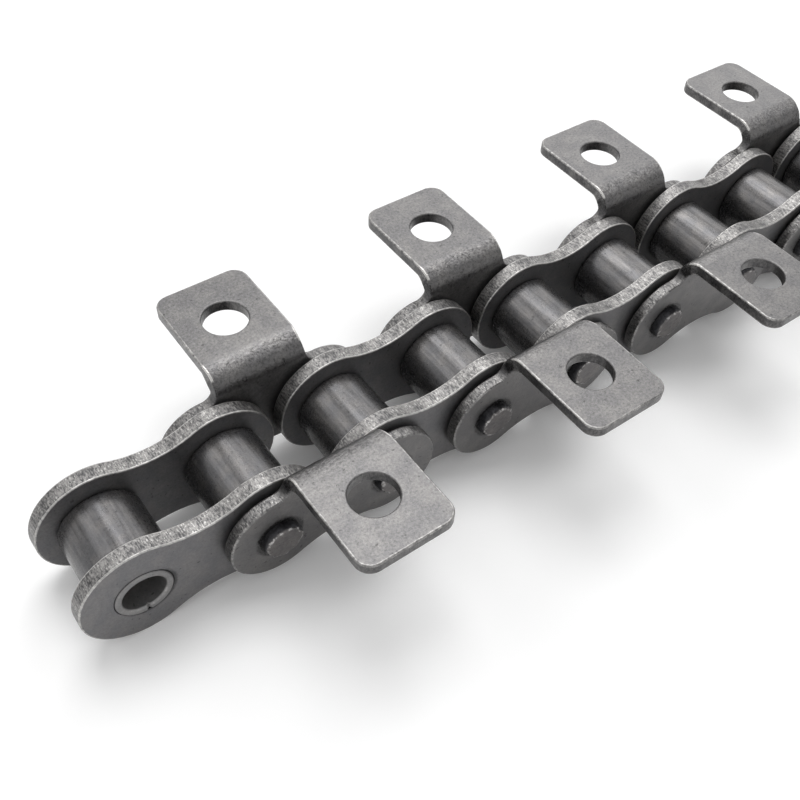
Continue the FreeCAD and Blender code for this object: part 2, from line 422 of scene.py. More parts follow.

# %% [markdown]
# ## Wear, oil and the stretched bend
#
# Edges rub against guides and against each other, so the oxide is gone there in a thin, broken
# bright line. Oil darkens a ring round each seat; on the inner plates a painted shade makes that ring
# heavier to the lower right, and a painted shade darkens the foot of each bend. The skin crazes where
# the bend has stretched it, and a painted highlight lightens it there. A shader could guess edges from
# the shading, but that
# costs time and can't be exported. The mesh knows where its edges, seats and bends are, so it
# keeps those as marks, and one noise breaks all of them up.

# %% Edge wear, oil with painted shade, and crazing with painted highlight
EDGE_WEAR = 0.94               # how readily a plain edge loses its skin,
BEND_WEAR = 0.5                # how much more readily it does at a bend,
TAB_WEAR = 0.1                 # and on a tab
WEAR_SOFTNESS = 0.5
# The oil mark also carries painted shade, round the inner plates' seats and at the foot of each bend.
OIL_SHADE_BREAK = 0.8                # how much the noise breaks up the oil's edge
OIL_SHADE_FROM, OIL_SHADE_SOFTNESS = 0.25, 0.4
CRAZING_BREAK = 1.4
CRAZED_TEXTURE = 1.6
PLATE_TEXTURE = 0.45           # a plate's sides show less grain than a tab does


def wear_group():
    """Wear, oil with painted shade, crazing with a painted highlight, and how much texture the skin
    shows: more on tabs than on plates.
    """
    inputs = {"Reach": 0.5, "Raggedness": 1.1, "Break Size": 0.0006}
    group, given = shader_group("edge_wear", inputs, ("Wear", "Oil And Shade", "Crazing And Highlight", "Texture"))
    edge, bend, seat, tab = (mark(group, label) for label in ("edge", "bend", "seat", "tab"))
    place = add(group, "ShaderNodeTexCoord").outputs["Object"]
    scale = Value(group, given["Break Size"]).calc("POWER", -1.0)
    broken = noise(group, place, scale, detail=4.0, roughness=0.75)
    uneven = broken - 0.5
    proud = edge * (bend * BEND_WEAR + tab * TAB_WEAR + EDGE_WEAR)
    rubbed = proud + uneven * given["Raggedness"]
    low = Value(group, given["Reach"]) * -1.0 + 1.0
    wear = ((rubbed - low) / WEAR_SOFTNESS).clamped()
    oil_and_shade = ((seat + uneven * OIL_SHADE_BREAK - OIL_SHADE_FROM) / OIL_SHADE_SOFTNESS).clamped()
    crazing_and_highlight = (bend + uneven * CRAZING_BREAK).calc("MAXIMUM", 0.0) * bend
    grainy = tab * (1 - PLATE_TEXTURE) + PLATE_TEXTURE
    texture = (crazing_and_highlight * CRAZED_TEXTURE + 1.0) * grainy
    outputs = {"Wear": wear, "Oil And Shade": oil_and_shade, "Crazing And Highlight": crazing_and_highlight, "Texture": texture}
    add(group, "NodeGroupOutput", outputs)
    return group


WEAR = wear_group()
print(WEAR.name, "has", len(WEAR.nodes), "nodes")

# %% [markdown]
# ## The steels
#
# All five finishes are one metal under a dark oxide skin. A metal's look is its mirror colour and
# how blurred the mirror is, so every steel here is mostly metallic, with a dark colour for the skin
# and a lighter one for bare rims and rubbed edges. The skin itself also scatters a little light, so
# it is not quite a metal; bare steel is.
#
# The grain is partly bump and partly colour. Bump alone makes a pale tab sparkle but leaves it
# flat from further away; colour alone looks printed on. Together they read as a rough skin.

# %% Mix colours, and place a shared group


def mix(tree, share, first, second):
    """Mix two colours by share. The Mix node's sockets 6 and 7 are its two colours."""
    inputs = {0: share}
    for socket, colour in ((6, first), (7, second)):
        inputs[socket] = colour if isinstance(colour, bpy.types.NodeSocket) else (*colour, 1)
    return add(tree, "ShaderNodeMix", inputs, data_type="RGBA").outputs[2]


def use(tree, group, **inputs):
    """Place a shared group in a material, with this material's own values."""
    made = add(tree, "ShaderNodeGroup", node_tree=group)
    for label, value in inputs.items():
        made.inputs[label.replace("_", " ")].default_value = value
    return {output.name: Value(tree, output) for output in made.outputs}


# %% One recipe for all steels
SKIN_METAL = 0.76             # the oxide skin scatters a little of the light
PATCH_RANGE = (0.40, 0.64)
PEBBLE_RANGE = (0.36, 0.62)
FINE_GRAIN = 0.6              # share of the finest grain in the skin's light and dark
# Painted highlight: how much the crazed part of a bend is lightened.
PAINTED_BEND_HIGHLIGHT = 0.25
PIT_DARK = 0.45
# Oil and painted shade: how much the oil mark darkens the colour.
OIL_AND_SHADE_DARK = 0.68
PIT_DEPTH = 0.4               # depths are shares of the finish's own grain depth
PEBBLE_HEIGHT = 2.2
BUMP_STRENGTH = 0.7
SPECKLE_GLOSS = 0.2           # how much rougher or smoother each of these makes the surface
WEAR_GLOSS = 0.1
OIL_GLOSS = 0.14
RIM_GLOSS = 0.06


def steel(
        name, skin, patch, bare, rim_low, rim_high, flecks, roughness, grain_depth, wear_reach,
        ragged, speckle, streak):
    """A steel finish: skin and patch colours, bare metal on worn edges, and a sheared rim."""
    material = bpy.data.materials.new(name)
    tree = empty_tree(material)
    grain = use(tree, GRAIN)
    shear = use(tree, RIM)
    worn = use(tree, WEAR, Reach=wear_reach, Raggedness=ragged)

    face = mix(tree, ramp(grain["Patches"], *PATCH_RANGE), skin, patch)
    rim = mix(tree, ramp(shear["Pebbles"], *PEBBLE_RANGE), rim_low, rim_high)
    rim = mix(tree, shear["Flecks"] * flecks, rim, bare)
    colour = mix(tree, shear["Rim"], face, rim)
    fine = (grain["Speckle"] - 0.5) * speckle + (grain["Grain"] - 0.5) * (speckle * FINE_GRAIN)
    light = fine * worn["Texture"] + 1.0
    # Painted highlight on the stretched part of each bend.
    light = light + worn["Crazing And Highlight"] * PAINTED_BEND_HIGHLIGHT
    light = light + (grain["Streaks"] - 0.5) * streak
    # Pits darken, and so does the oil mark, which is oil and painted shade.
    light = light * (grain["Pits"] * -PIT_DARK + 1.0) * (worn["Oil And Shade"] * -OIL_AND_SHADE_DARK + 1.0)
    lit = add(tree, "ShaderNodeVectorMath", {0: colour, "Scale": light}, operation="SCALE")
    colour = mix(tree, worn["Wear"], lit.outputs[0], bare)

    height = (grain["Grain"] * 0.5 + grain["Speckle"]) * worn["Texture"] - grain["Pits"] * PIT_DEPTH
    height = height + shear["Rim"] * shear["Pebbles"] * PEBBLE_HEIGHT
    relief = {"Height": height, "Strength": BUMP_STRENGTH, "Distance": grain_depth}
    bump = add(tree, "ShaderNodeBump", relief)
    gloss = (grain["Speckle"] - 0.5) * SPECKLE_GLOSS - worn["Wear"] * WEAR_GLOSS
    gloss = gloss - worn["Oil And Shade"] * OIL_GLOSS + roughness
    gloss = gloss - shear["Rim"] * RIM_GLOSS
    shader = add(tree, "ShaderNodeBsdfPrincipled", {
        "Base Color": colour,
        "Metallic": worn["Wear"] * (1 - SKIN_METAL) + SKIN_METAL,
        "Roughness": gloss,
        "Normal": bump.outputs[0],
    })
    add(tree, "ShaderNodeOutputMaterial", {"Surface": shader.outputs[0]})
    print(f"{name}: {len(tree.nodes)} nodes, roughness {roughness}")
    return material


# %% [markdown]
# ## The five finishes
#
# Inner plates are the palest and dullest. Attachment plates are darker, glossier and more speckled,
# most of all on their tabs. Bushings are smooth. Rollers are dark and burnished by the sprocket, so
# they are the glossiest, and streaked along their length. Pins are plain, with ragged bright edges
# where staking has spread them.

# %% Plates
STEELS = {}
STEELS["inner_plate"] = steel(
    "inner_plate_steel",
    skin=(0.163, 0.162, 0.168), patch=(0.194, 0.189, 0.189), bare=(0.58, 0.57, 0.55),
    rim_low=(0.056, 0.055, 0.057), rim_high=(0.250, 0.243, 0.236), flecks=0.62,
    roughness=0.46, grain_depth=0.000022, wear_reach=0.26, ragged=1.1, speckle=1.5, streak=0.0)
STEELS["attachment_plate"] = steel(
    "attachment_plate_steel",
    skin=(0.132, 0.129, 0.130), patch=(0.166, 0.161, 0.158), bare=(0.48, 0.47, 0.455),
    rim_low=(0.052, 0.051, 0.053), rim_high=(0.208, 0.202, 0.197), flecks=0.62,
    roughness=0.37, grain_depth=0.000042, wear_reach=0.12, ragged=1.1, speckle=1.4, streak=0.0)

# %% Bushings, rollers and pins
# The bushing's rim colours paint the gap inside the seat near black as shade.
STEELS["bushing"] = steel(
    "bushing_steel",
    skin=(0.215, 0.212, 0.212), patch=(0.250, 0.244, 0.241), bare=(0.50, 0.49, 0.48),
    rim_low=(0.014, 0.014, 0.016), rim_high=(0.022, 0.022, 0.024), flecks=0.0,
    roughness=0.44, grain_depth=0.000012, wear_reach=0.10, ragged=1.1, speckle=1.3, streak=0.0)
STEELS["roller"] = steel(
    "roller_steel",
    skin=(0.092, 0.091, 0.094), patch=(0.120, 0.115, 0.113), bare=(0.40, 0.39, 0.38),
    rim_low=(0.075, 0.074, 0.076), rim_high=(0.240, 0.234, 0.228), flecks=0.5,
    roughness=0.285, grain_depth=0.000016, wear_reach=0.10, ragged=1.1, speckle=1.5, streak=1.5)
# The pin's rim colours are near black: oil between the plates, painted shade on the side that stands
# out.
STEELS["pin"] = steel(
    "pin_steel",
    skin=(0.118, 0.112, 0.112), patch=(0.156, 0.146, 0.142), bare=(0.50, 0.49, 0.48),
    rim_low=(0.020, 0.020, 0.023), rim_high=(0.036, 0.036, 0.039), flecks=0.0,
    roughness=0.42, grain_depth=0.000034, wear_reach=0.16, ragged=2.6, speckle=2.6, streak=0.0)

# %% [markdown]
# ## Stamped plates
#
# A chain plate is punched from strip. Seen from the side it is an outline with holes; seen in
# section it is flat, with softly rolled edges and a rim that the punch has torn.
#
# It could be made by thickening a filled outline and bevelling it, but then the rim and the edge
# would be known only to the bevel. Here a tree sweeps the rim's section round every outline and
# fills the faces between them, so each point knows whether it lies on the rim or at the edge, and
# the steel can be torn or rubbed exactly there.

# %% Wires: the drawings that the trees start from


def wire(name, loops, closed, **values):
    """A mesh of edges only. Each value is an attribute with one number for each point."""
    points, edges = [], []
    for loop in loops:
        first, count = len(points), len(loop)
        points += [(*point, 0.0) for point in loop]
        last = count if closed else count - 1
        edges += [(first + i, first + (i + 1) % count) for i in range(last)]
    mesh = bpy.data.meshes.new(name)
    mesh.from_pydata(points, edges, [])
    for label, numbers in values.items():
        layer = mesh.attributes.new(label, "FLOAT", "POINT")
        layer.data.foreach_set("value", numbers)
    return put(name, mesh)


def arc_points(centre, radius, start, end, step):
    """Points along an arc, angles in degrees, without its last point."""
    count = max(3, round(abs(math.radians(end - start)) * radius / step))
    angles = [math.radians(start + (end - start) * i / count) for i in range(count)]
    return [(centre[0] + radius * math.cos(a), centre[1] + radius * math.sin(a)) for a in angles]


def line_points(start, end, step):
    """Points along a line, without its last point."""
    count = max(1, round(math.dist(start, end) / step))
    return [tuple(s + (e - s) * i / count for s, e in zip(start, end)) for i in range(count)]


# %% Section of a rim
FACE_MARGIN = 1.0 * MM         # how far the swept band reaches in from an outline
# How worn the face is at each distance from the outline.
FACE_WEAR = ((FACE_MARGIN, 0.0), (0.70 * MM, 0.0), (0.45 * MM, 0.15), (0.32 * MM, 0.3))
ROLL_STEPS = 4
INNER_RIM_WORN, OUTER_RIM_WORN = 1.06, 1.0
INNER_SEAT_RING_REACH = 0.64 * MM
OUTER_SEAT_RING_REACH = 1.00 * MM


def rim_section(name, half_thickness, roll, worn, ring_reach):
    """Half of the section runs in from the face and round the rolled edge; the rest mirrors it.

    Each row is place outwards, place through the thickness, edge and rim. A seat has no rim, and a dark
    ring of oil that also carries painted shade.
    """
    flat = half_thickness - roll

    def oil_and_shade(distance):
        return max(0.0, 1.0 - distance / ring_reach) if ring_reach else 0.0

    face = (*FACE_WEAR, (roll + 0.06 * MM, 0.6))
    rows = [(-distance, -half_thickness, edge, 0.0) for distance, edge in face]
    for i in range(ROLL_STEPS + 1):
        turn = math.radians(90 * i / ROLL_STEPS)
        rows.append((roll * (math.sin(turn) - 1), -flat - roll * math.cos(turn), 1.0, i / ROLL_STEPS))
    rows += [(0.0, -flat + 0.06 * MM, 0.6, 1.0), (0.0, -flat + 0.25 * MM, 0.1, 1.0)]
    rows += [(0.0, 0.0, 0.0, 1.0)]
    rows += [(out, -down, edge, rim) for out, down, edge, rim in reversed(rows[:-1])]
    torn = 0.0 if ring_reach else 1.0
    return wire(
        name, [[row[:2] for row in rows]], False, edge=[row[2] * worn for row in rows],
        rim=[row[3] * torn for row in rows], seat=[oil_and_shade(-row[0]) for row in rows])


INNER_HALF, OUTER_HALF = INNER_THICKNESS / 2, OUTER_THICKNESS / 2
SECTIONS = {
    "inner": rim_section("inner_rim", INNER_HALF, INNER_ROLL, INNER_RIM_WORN, 0.0),
    "inner_seat": rim_section("inner_seat", INNER_HALF, SEAT_ROLL, 0.0, INNER_SEAT_RING_REACH),
    "outer": rim_section("outer_rim", OUTER_HALF, OUTER_ROLL, OUTER_RIM_WORN, 0.0),
    "outer_seat": rim_section("outer_seat", OUTER_HALF, SEAT_ROLL, 0.0, OUTER_SEAT_RING_REACH),
}
print("sections drawn:", ", ".join(SECTIONS))

# %% Start a Geometry Nodes tree


def geometry_tree(name, **inputs):
    """A tree with geometry in and out. Each input is a label and its socket's kind."""
    tree = bpy.data.node_groups.new(name, "GeometryNodeTree")
    tree.interface.new_socket("Geometry", in_out="INPUT", socket_type="NodeSocketGeometry")
    tree.interface.new_socket("Geometry", in_out="OUTPUT", socket_type="NodeSocketGeometry")
    for label, kind in inputs.items():
        label = label.replace("_", " ")
        tree.interface.new_socket(label, in_out="INPUT", socket_type="NodeSocket" + kind)
    given = add(tree, "NodeGroupInput").outputs
    return tree, {socket.name: socket for socket in given if socket.name}


def finish_tree(tree, geometry, material):
    """Every tree ends with real geometry that carries its material."""
    real = add(tree, "GeometryNodeRealizeInstances", {"Geometry": geometry})
    painted = add(tree, "GeometryNodeSetMaterial", {"Geometry": real.outputs[0], "Material": material})
    add(tree, "NodeGroupOutput", {"Geometry": painted.outputs[0]})


def separate(tree, vector):
    """A vector's three numbers."""
    parts = add(tree, "ShaderNodeSeparateXYZ", {0: vector})
    return [Value(tree, output) for output in parts.outputs]


def combine(tree, x, y, z):
    """A vector of three numbers."""
    return add(tree, "ShaderNodeCombineXYZ", {"X": x, "Y": y, "Z": z}).outputs[0]


def store(tree, geometry, label, value, kind="FLOAT"):
    """Keep a value at each point, for a later tree or for the steels."""
    inputs = {"Geometry": geometry, "Name": label, "Value": value}
    made = add(tree, "GeometryNodeStoreNamedAttribute", inputs, data_type=kind, domain="POINT")
    return made.outputs[0]


def stored(tree, label, kind="FLOAT"):
    """Read a value that was kept at each point."""
    return add(tree, "GeometryNodeInputNamedAttribute", {"Name": label}, data_type=kind).outputs[0]


# %% Run a tree


def build(tree, mesh_or_object, name, **inputs):
    """Run a tree on a mesh with these inputs, and return the result as a plain mesh."""
    host = mesh_or_object
    if isinstance(host, bpy.types.Mesh):
        host = put(name, mesh_or_object)
    modifier = host.modifiers.new(tree.name, "NODES")
    modifier.node_group = tree
    items = tree.interface.items_tree
    sockets = {item.name: item.identifier for item in items if item.in_out == "INPUT"}
    for label, value in inputs.items():
        modifier[sockets[label.replace("_", " ")]] = value
    evaluated = host.evaluated_get(bpy.context.evaluated_depsgraph_get())
    mesh = bpy.data.meshes.new_from_object(evaluated)
    mesh.name = name
    host.modifiers.remove(modifier)
    if host is not mesh_or_object:
        bpy.data.objects.remove(host)
    return mesh


# %% [markdown]
# ## The inner plate
#
# Its outline is a rule: two round ends joined by hollow arcs that touch them, which leaves a waist.
# It could be drawn point by point, but a tree that works out the arcs from the pitch, the end
# radius and the waist stays right when any of them changes.

# %% Tree: the outline of an eight-shaped plate
OUTLINE_RAYS = 1440            # fine enough that resampling rounds nothing off
OUTLINE_POINTS = 240


def eight_outline_tree():
    """Seen from the plate's middle, the outline is an end circle or a hollow one, by direction."""
    tree, given = geometry_tree(
        "eight_outline", Half_Pitch="Float", End_Radius="Float", Half_Waist="Float")
    names = ("Half Pitch", "End Radius", "Half Waist")
    pitch, end, waist = (Value(tree, given[name]) for name in names)
    rise = pitch * pitch + waist * waist - end * end
    hollow = rise / ((end - waist) * 2.0)
    depth = waist + hollow
    share = end / (end + hollow)
    touch_x = pitch * (share * -1.0 + 1.0)
    touch_z = depth * share

    circle = add(tree, "GeometryNodeCurvePrimitiveCircle", {"Resolution": OUTLINE_RAYS, "Radius": 1.0})
    turn = Value(tree, add(tree, "GeometryNodeSplineParameter").outputs["Factor"]) * math.tau
    along, up = turn.calc("COSINE"), turn.calc("SINE")
    flat, steep = along.calc("ABSOLUTE"), up.calc("ABSOLUTE")
    inside_end = (end * end - (pitch * steep).calc("POWER", 2.0)).calc("MAXIMUM", 0.0)
    inside_hollow = (hollow * hollow - (depth * flat).calc("POWER", 2.0)).calc("MAXIMUM", 0.0)
    on_end = pitch * flat + inside_end.calc("SQRT")
    on_hollow = depth * steep - inside_hollow.calc("SQRT")
    hollowed = (steep * touch_x).calc("GREATER_THAN", flat * touch_z)
    reach = on_end + (on_hollow - on_end) * hollowed
    place = combine(tree, reach * along, reach * up, 0.0)
    placed = {"Geometry": circle.outputs["Curve"], "Position": place}
    moved = add(tree, "GeometryNodeSetPosition", placed)
    spacing = {"Curve": moved.outputs[0], "Count": OUTLINE_POINTS}
    even = add(tree, "GeometryNodeResampleCurve", spacing)
    plain = add(tree, "GeometryNodeCurveToMesh", {"Curve": even.outputs[0]})
    add(tree, "NodeGroupOutput", {"Geometry": plain.outputs[0]})
    return tree


EIGHT_OUTLINE = eight_outline_tree()
print(EIGHT_OUTLINE.name, "has", len(EIGHT_OUTLINE.nodes), "nodes")

# %% Tree: stamp a plate out of its outline
MERGE_DISTANCE = 0.002 * MM


def stamp_tree():
    """Sweep a rim section round every outline, and fill both faces between the bands."""
    tree, given = geometry_tree(
        "stamp_plate", Rim_Section="Object", Seat_Section="Object", Margin="Float",
        Half_Thickness="Float")
    is_seat = Value(tree, stored(tree, "is_seat")).calc("GREATER_THAN", 0.5)
    chosen = {"Geometry": given["Geometry"], "Selection": is_seat}
    loops = add(tree, "GeometryNodeSeparateGeometry", chosen)
    inward = Value(tree, given["Margin"]) * -1.0
    joined = add(tree, "GeometryNodeJoinGeometry")
    inner_loops = add(tree, "GeometryNodeJoinGeometry")
    for kind, section in (("Selection", "Seat Section"), ("Inverted", "Rim Section")):
        curves = add(tree, "GeometryNodeMeshToCurve", {"Mesh": loops.outputs[kind]})
        curves = add(tree, "GeometryNodeSetCurveNormal", {"Curve": curves.outputs[0]}, mode="Z_UP")
        turn = Value(tree, add(tree, "GeometryNodeSplineParameter").outputs["Factor"]) * math.tau
        ring = Value(tree, add(tree, "GeometryNodeSplineLength").outputs["Length"]) / math.tau
        round_loop = combine(tree, ring * turn.calc("COSINE"), ring * turn.calc("SINE"), 0.0)
        marked = store(tree, curves.outputs[0], "rim_place", round_loop, "FLOAT_VECTOR")
        profile = add(tree, "GeometryNodeObjectInfo", {"Object": given[section]})
        profile = add(tree, "GeometryNodeMeshToCurve", {"Mesh": profile.outputs["Geometry"]})
        sweep = {"Curve": marked, "Profile Curve": profile.outputs[0]}
        band = add(tree, "GeometryNodeCurveToMesh", sweep)
        tree.links.new(band.outputs[0], joined.inputs[0])
        normal = add(tree, "GeometryNodeInputNormal").outputs["Normal"]
        offset = add(tree, "ShaderNodeVectorMath", {0: normal, "Scale": inward}, operation="SCALE")
        shifted = {"Geometry": curves.outputs[0], "Offset": offset.outputs[0]}
        inner = add(tree, "GeometryNodeSetPosition", shifted)
        tree.links.new(inner.outputs[0], inner_loops.inputs[0])
    face = add(tree, "GeometryNodeFillCurve", {"Curve": inner_loops.outputs[0]}).outputs[0]
    half = Value(tree, given["Half Thickness"])
    raised = {"Geometry": face, "Translation": combine(tree, 0.0, 0.0, half)}
    top = add(tree, "GeometryNodeTransform", raised)
    lowered = {"Geometry": face, "Translation": combine(tree, 0.0, 0.0, half * -1.0)}
    bottom = add(tree, "GeometryNodeTransform", lowered)
    bottom = add(tree, "GeometryNodeFlipFaces", {"Mesh": bottom.outputs[0]})
    tree.links.new(top.outputs[0], joined.inputs[0])
    tree.links.new(bottom.outputs[0], joined.inputs[0])
    doubles = {"Geometry": joined.outputs[0], "Distance": MERGE_DISTANCE}
    closed = add(tree, "GeometryNodeMergeByDistance", doubles)

    x, y, _ = separate(tree, stored(tree, "rim_place", "FLOAT_VECTOR"))
    through = separate(tree, add(tree, "GeometryNodeInputPosition").outputs[0])[2]
    placed = store(tree, closed.outputs[0], "rim_place", combine(tree, x, y, through), "FLOAT_VECTOR")
    add(tree, "NodeGroupOutput", {"Geometry": placed})
    return tree


STAMP = stamp_tree()
print(STAMP.name, "has", len(STAMP.nodes), "nodes")

# %% Tree: fold a flat blank and stand it up
EDGE_ZONE = 0.7                # the bend draws in beyond this share of its half width
STRETCH_START = 0.4            # share of the bend below which its skin isn't stretched
TAB_FADE = 0.8 * MM            # the web's finish changes into the tab's over this height
# Painted shade: the lower part of each bend is darkened, through the seat mark.
PAINTED_BEND_SHADE = 0.42
BEND_SHADE_RISE, BEND_SHADE_FALL = 6.0, 4.0      # it is full soon after the bend starts, and falls slower
BEND_SHADE_GONE = 0.75                      # share of the bend where it is gone


def fold_tree():
    """The blank lies flat, its web upwards. Above Bend Start it turns a quarter outwards.

    Bending stretches the outside of the sheet, so its edges draw in there, and bulge inside. The skin
    stretches most in the upper part of the bend, where a painted highlight lightens it, and a painted
    shade darkens the lower part.
    """
    tree, given = geometry_tree(
        "fold_blank", Bend_Start="Float", Bend_Length="Float", Bend_Centre="Float",
        Middle_Radius="Float", Half_Width="Float", Draw_In="Float")
    start, length, centre, radius, half_width, draw = (
        Value(tree, given[name]) for name in
        ("Bend Start", "Bend Length", "Bend Centre", "Middle Radius", "Half Width", "Draw In"))
    x, up, through = separate(tree, add(tree, "GeometryNodeInputPosition").outputs[0])
    past = up - start
    share = (past / length).clamped()
    turn = share * (math.pi / 2)
    beyond = (past - length).calc("MAXIMUM", 0.0)
    reach = radius + through
    y = centre - reach * turn.calc("COSINE") + beyond
    z = up.calc("MINIMUM", start) + reach * turn.calc("SINE")

    bent = (share * math.pi).calc("SINE").calc("MAXIMUM", 0.0)
    past_zone = x.calc("ABSOLUTE") / half_width - EDGE_ZONE
    near_edge = (past_zone / (1 - EDGE_ZONE)).clamped()
    pulled = through / radius * draw * bent * near_edge * near_edge
    narrowed = x - pulled * x.calc("SIGN")

    rise = (share - STRETCH_START) / (1 - STRETCH_START)
    upper = (rise * math.pi).calc("SINE").calc("MAXIMUM", 0.0)
    stretched = upper * share.calc("GREATER_THAN", STRETCH_START)
    tab = (past / TAB_FADE + 1.0).clamped()
    # Painted shade at the foot of the bend, joined to the seats' dark rings.
    coming = (share * BEND_SHADE_RISE).clamped()
    fading = (share * -BEND_SHADE_FALL + BEND_SHADE_FALL * BEND_SHADE_GONE).clamped()
    bend_shade = coming * fading * PAINTED_BEND_SHADE
    seat_and_bend_shade = bend_shade.calc("MAXIMUM", stored(tree, "seat"))
    kept = given["Geometry"]
    for label, value in (("bend", stretched), ("tab", tab), ("seat", seat_and_bend_shade)):
        kept = store(tree, kept, label, value)
    folded = {"Geometry": kept, "Position": combine(tree, narrowed, y, z)}
    moved = add(tree, "GeometryNodeSetPosition", folded)
    add(tree, "NodeGroupOutput", {"Geometry": moved.outputs[0]})
    return tree


FOLD = fold_tree()
print(FOLD.name, "has", len(FOLD.nodes), "nodes")

# %% Close a shell and turn it outwards
SHARP_ANGLE = 40               # degrees


def close_shell(mesh):
    """Merge doubles, turn faces outwards, smooth all but sharp edges, and report."""
    shell = bmesh.new()
    shell.from_mesh(mesh)
    bmesh.ops.remove_doubles(shell, verts=shell.verts, dist=MERGE_DISTANCE / 2)
    bmesh.ops.dissolve_degenerate(shell, edges=shell.edges, dist=MERGE_DISTANCE / 4)
    bmesh.ops.recalc_face_normals(shell, faces=shell.faces)
    if shell.calc_volume(signed=True) < 0:
        bmesh.ops.reverse_faces(shell, faces=shell.faces)
    for face in shell.faces:
        face.smooth = True
    open_edges = sum(1 for edge in shell.edges if not edge.is_manifold)
    volume = shell.calc_volume()
    shell.to_mesh(mesh)
    shell.free()
    mesh.set_sharp_from_angle(angle=math.radians(SHARP_ANGLE))
    print(f"{mesh.name}: {len(mesh.polygons)} faces, {open_edges} open edges, {volume / MM**3:.1f} mm3")
    return mesh


# %% Stamp a blank


def hole_loop(centre, radius, count=96):
    """A hole runs the other way round, so that outwards points into it."""
    angles = [-math.tau * i / count for i in range(count)]
    return [(centre[0] + radius * math.cos(a), centre[1] + radius * math.sin(a)) for a in angles]


def stamp(name, outline, open_holes, seats, section, half_thickness):
    """Stamp a blank. Seats are holes that hold another piece."""
    loops = [outline] + open_holes + seats
    marks = [float(loop in seats) for loop in loops for point in loop]
    drawing = wire(name + "_drawing", loops, True, is_seat=marks)
    blank = build(
        STAMP, drawing, name + "_blank", Rim_Section=SECTIONS[section],
        Seat_Section=SECTIONS[section + "_seat"], Margin=FACE_MARGIN, Half_Thickness=half_thickness)
    bpy.data.objects.remove(drawing)
    return blank


# %% The inner plate
JOINTS = [(-HALF_PITCH, 0.0), (HALF_PITCH, 0.0)]
# Painted shade: an inner plate's seat ring is heavier to the lower right and gone at the upper left.
SIDE_OIL_SHADE, LOWER_RIGHT_SHADE = 0.45, 0.85     # oil beside a seat, and how much more lies below it


def outline_points(tree, **sizes):
    """The points of an outline tree, in order round the loop."""
    empty = bpy.data.meshes.new("outline")
    mesh = build(tree, empty, "outline", **sizes)
    return [tuple(vertex.co.xy) for vertex in mesh.vertices]


def settle_oil_and_shade(mesh, joints):
    """A ring of oil and painted shade stays beside and below each seat, heaviest to the lower right;
    above it only the gap is dark.
    """
    seat = mesh.attributes["seat"].data
    for vertex in mesh.vertices:
        centre = min(joints, key=lambda joint: math.dist(vertex.co.xy, joint))
        x, z = vertex.co.x - centre[0], vertex.co.y - centre[1]
        below = (x - z) / (math.sqrt(2) * math.hypot(x, z))
        seat[vertex.index].value *= min(1.0, max(0.0, SIDE_OIL_SHADE + LOWER_RIGHT_SHADE * below))


def make_inner_plate():
    """Stamp the plate and stand it up. Its fold begins far above it, so it stays flat."""
    outline = outline_points(
        EIGHT_OUTLINE, Half_Pitch=HALF_PITCH, End_Radius=INNER_END_RADIUS,
        Half_Waist=INNER_HALF_WAIST)
    seats = [hole_loop(joint, BUSHING_RADIUS) for joint in JOINTS]
    blank = stamp("inner_plate", outline, [], seats, "inner", INNER_HALF)
    settle_oil_and_shade(blank, JOINTS)
    plate = build(
        FOLD, blank, "inner_plate", Bend_Start=1.0, Bend_Length=1.0, Half_Width=1.0,
        Bend_Centre=INNER_INSIDE + INNER_THICKNESS, Middle_Radius=INNER_HALF, Draw_In=0.0)
    return close_shell(plate)


INNER_PLATE = make_inner_plate()

# %% [markdown]
# ## The attachment plate
#
# The outer plate, the web that rises from it and the tab are one piece. The maker punches it flat
# and then bends it square. The same steps are taken here: the flat blank is drawn and stamped, cut
# across at closely spaced rows where it will bend, and folded by a rule. The grain of its rims
# then follows the bend, because it was laid on the flat blank.

# %% The blank's outline
BEND_OUTSIDE_RADIUS = BEND_INSIDE_RADIUS + OUTER_THICKNESS
BEND_START = TAB_TOP - BEND_OUTSIDE_RADIUS
BEND_CENTRE = OUTER_INSIDE + BEND_OUTSIDE_RADIUS
BEND_MIDDLE_RADIUS = BEND_INSIDE_RADIUS + OUTER_HALF
BEND_LENGTH = BEND_MIDDLE_RADIUS * math.pi / 2
FLAT_START = BEND_START + BEND_LENGTH
BLANK_TOP = FLAT_START + TAB_END - BEND_CENTRE
HOLE_HEIGHT = FLAT_START + TAB_HOLE_OFFSET - BEND_CENTRE
ARC_STEP = 0.30 * MM
LINE_STEP = 0.45 * MM
print(f"the blank is {(BLANK_TOP + OUTER_END_RADIUS) / MM:.2f} mm high before it is bent")


